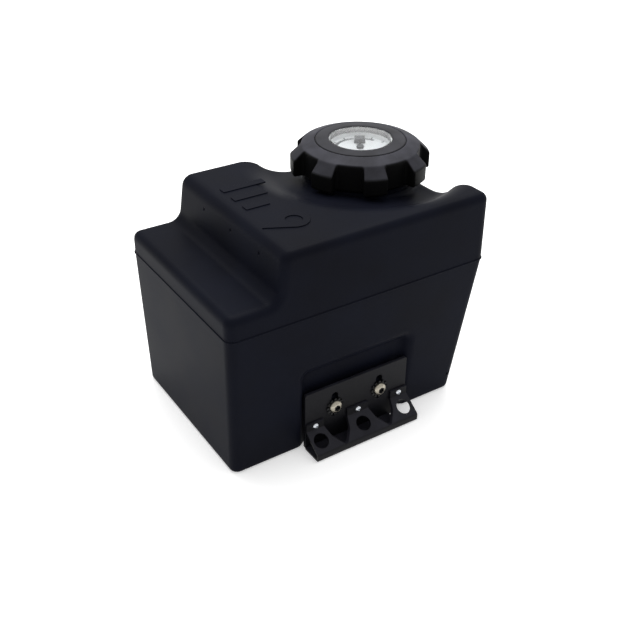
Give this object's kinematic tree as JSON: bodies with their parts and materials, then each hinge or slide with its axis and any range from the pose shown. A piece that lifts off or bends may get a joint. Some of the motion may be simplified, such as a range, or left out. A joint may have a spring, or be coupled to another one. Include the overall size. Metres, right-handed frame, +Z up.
{
  "type": "hydraulic reservoir",
  "caption": "Black moulded hydraulic oil reservoir with a stepped top, a screwed fluted cap with a float gauge under a clear window, and a slotted front bracket with a hose hood.",
  "frame": {"origin": "on the flat base, below the middle of the seam", "axes": "+X along the tank away from the low shelf, +Z up, the bracket on the -Y side"},
  "size_m": [0.2585, 0.231, 0.2188],
  "materials": {
    "tank_polyethylene": "rotomoulded or injection moulded black polyethylene, satin, fine moulded grain",
    "cap_nylon": "moulded glass-filled nylon, fine spark-eroded texture",
    "lens_clear": "clear polycarbonate, polished",
    "dial_white": "white moulded styrene",
    "pointer_grey": "grey moulded acetal",
    "stainless": "cold-formed stainless steel, bright",
    "spindle_steel": "drawn and twisted steel strip",
    "powder_coat": "satin black powder coat on steel",
    "washer_oxide": "black oxide spring steel",
    "nitrile": "nitrile rubber",
    "brass": "turned brass",
    "float_foam": "closed-cell nitrile foam float",
    "vent_foam": "open-cell filter foam"
  },
  "bodies": {
    "tank": {"tank_lower": "tank_polyethylene", "tank_upper": "tank_polyethylene", "filler_neck": "tank_polyethylene", "bracket_bolts": "stainless", "star_washers": "washer_oxide", "bracket_inserts": "brass", "port_inserts": "brass", "port_seals": "nitrile", "suction_fitting": "stainless", "return_fitting": "stainless", "suction_strainer": "stainless"},
    "seal": {"cap_seal": "nitrile"},
    "cap": {"cap_body": "cap_nylon", "cap_bezel": "cap_nylon", "gauge_lens": "lens_clear", "lens_seal": "nitrile", "gauge_dial": "dial_white", "breather_pad": "vent_foam", "guide_frame": "stainless", "guide_foot": "cap_nylon"},
    "spindle": {"gauge_spindle": "spindle_steel", "gauge_pointer": "pointer_grey"},
    "float": {"gauge_float": "float_foam", "float_driver": "brass"},
    "bracket": {"bracket_plate": "powder_coat", "bracket_hood": "powder_coat", "hood_screws": "stainless"}
  },
  "joints": [
    {"name": "cap_lift", "type": "slide", "parent": "tank", "child": "seal", "axis": [0, 0, 1], "range_m": [0, 0.00905]},
    {"name": "cap_turn", "type": "hinge", "parent": "seal", "child": "cap", "pos_m": [0.073, 0.028, 0.2], "axis": [0, 0, 1], "range_deg": [0, 540]},
    {"name": "float_slide", "type": "slide", "parent": "cap", "child": "float", "axis": [0, 0, 1], "range_m": [0, 0.12]},
    {"name": "spindle_spin", "type": "hinge", "parent": "cap", "child": "spindle", "pos_m": [0.073, 0.028, 0.1], "axis": [0, 0, 1], "range_deg": [-270.5, 0]},
    {"name": "bracket_adjust", "type": "slide", "parent": "tank", "child": "bracket", "axis": [0, 0, 1], "range_m": [0, 0.007]}
  ],
  "couplings": [
    {"joint": "cap_lift", "follows": "cap_turn", "m_per_rad": 0.00095493},
    {"joint": "spindle_spin", "follows": "float_slide", "rad_per_m": -39.27}
  ]
}
